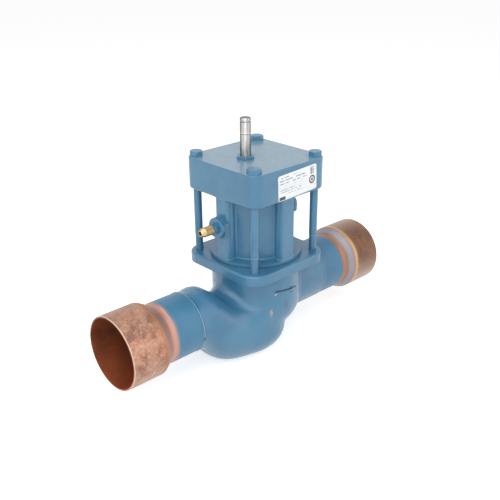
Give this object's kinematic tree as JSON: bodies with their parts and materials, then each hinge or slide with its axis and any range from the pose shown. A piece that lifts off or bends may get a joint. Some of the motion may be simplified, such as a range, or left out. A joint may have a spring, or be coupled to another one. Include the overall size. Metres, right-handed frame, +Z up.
{
  "type": "suction solenoid valve",
  "caption": "Gas-powered suction line shut-off valve with a globe body, bolted power cylinder, solenoid tube, access port and swaged copper reducers.",
  "frame": {"origin": "centre of the mouth of the inlet cup", "axes": "+X along the pipe axis from inlet to outlet, +Z up along the valve stem towards the solenoid tube"},
  "size_m": [0.3948, 0.123, 0.2821],
  "materials": {
    "blue_paint": "satin gloss enamel over cast and machined steel",
    "copper": "drawn copper with braze heat tint and oxide",
    "brass": "machined",
    "bright_steel": "ground stainless",
    "steel": "turned",
    "iron": "machined iron",
    "seal": "matte",
    "gasket": "pressed fibre sheet"
  },
  "bodies": {
    "valve": {"valve_body": "blue_paint", "inlet_reducer": "copper", "outlet_reducer": "copper", "cylinder_cover": "blue_paint", "tie_bolts": "blue_paint", "tube_nut": "blue_paint", "port_bushing": "blue_paint", "port_plug": "blue_paint", "access_fitting": "brass", "valve_core": "brass", "solenoid_tube": "bright_steel", "fixed_core": "bright_steel", "seat_ring": "steel", "stem_guide": "iron", "guide_bushing": "brass", "stem_seal": "seal", "cover_gasket": "gasket", "opening_spring": "steel", "pilot_seat": "brass", "tube_oring": "seal", "plunger_spring": "steel"},
    "stem_set": {"power_piston": "iron", "piston_ring": "steel", "piston_nut": "steel", "stem": "bright_steel", "main_disc": "steel", "disc_seal": "seal", "disc_retainer": "steel", "disc_nut": "steel"},
    "plunger_set": {"plunger": "bright_steel", "plunger_seal": "seal"},
    "pin": {"core_pin": "steel"}
  },
  "joints": [
    {"name": "piston_slide", "type": "slide", "parent": "valve", "child": "stem_set", "axis": [0, 0, -1], "range_m": [0, 0.014], "stiffness_N_per_m": 5000, "springref_m": -0.01, "deforming": ["opening_spring"]},
    {"name": "plunger_slide", "type": "slide", "parent": "valve", "child": "plunger_set", "axis": [0, 0, 1], "range_m": [0, 0.0028], "stiffness_N_per_m": 300, "springref_m": -0.004, "deforming": ["plunger_spring"]},
    {"name": "core_pin_slide", "type": "slide", "parent": "valve", "child": "pin", "axis": [1, 0, 0], "range_m": [0, 0.0015], "stiffness_N_per_m": 500, "springref_m": -0.002}
  ]
}
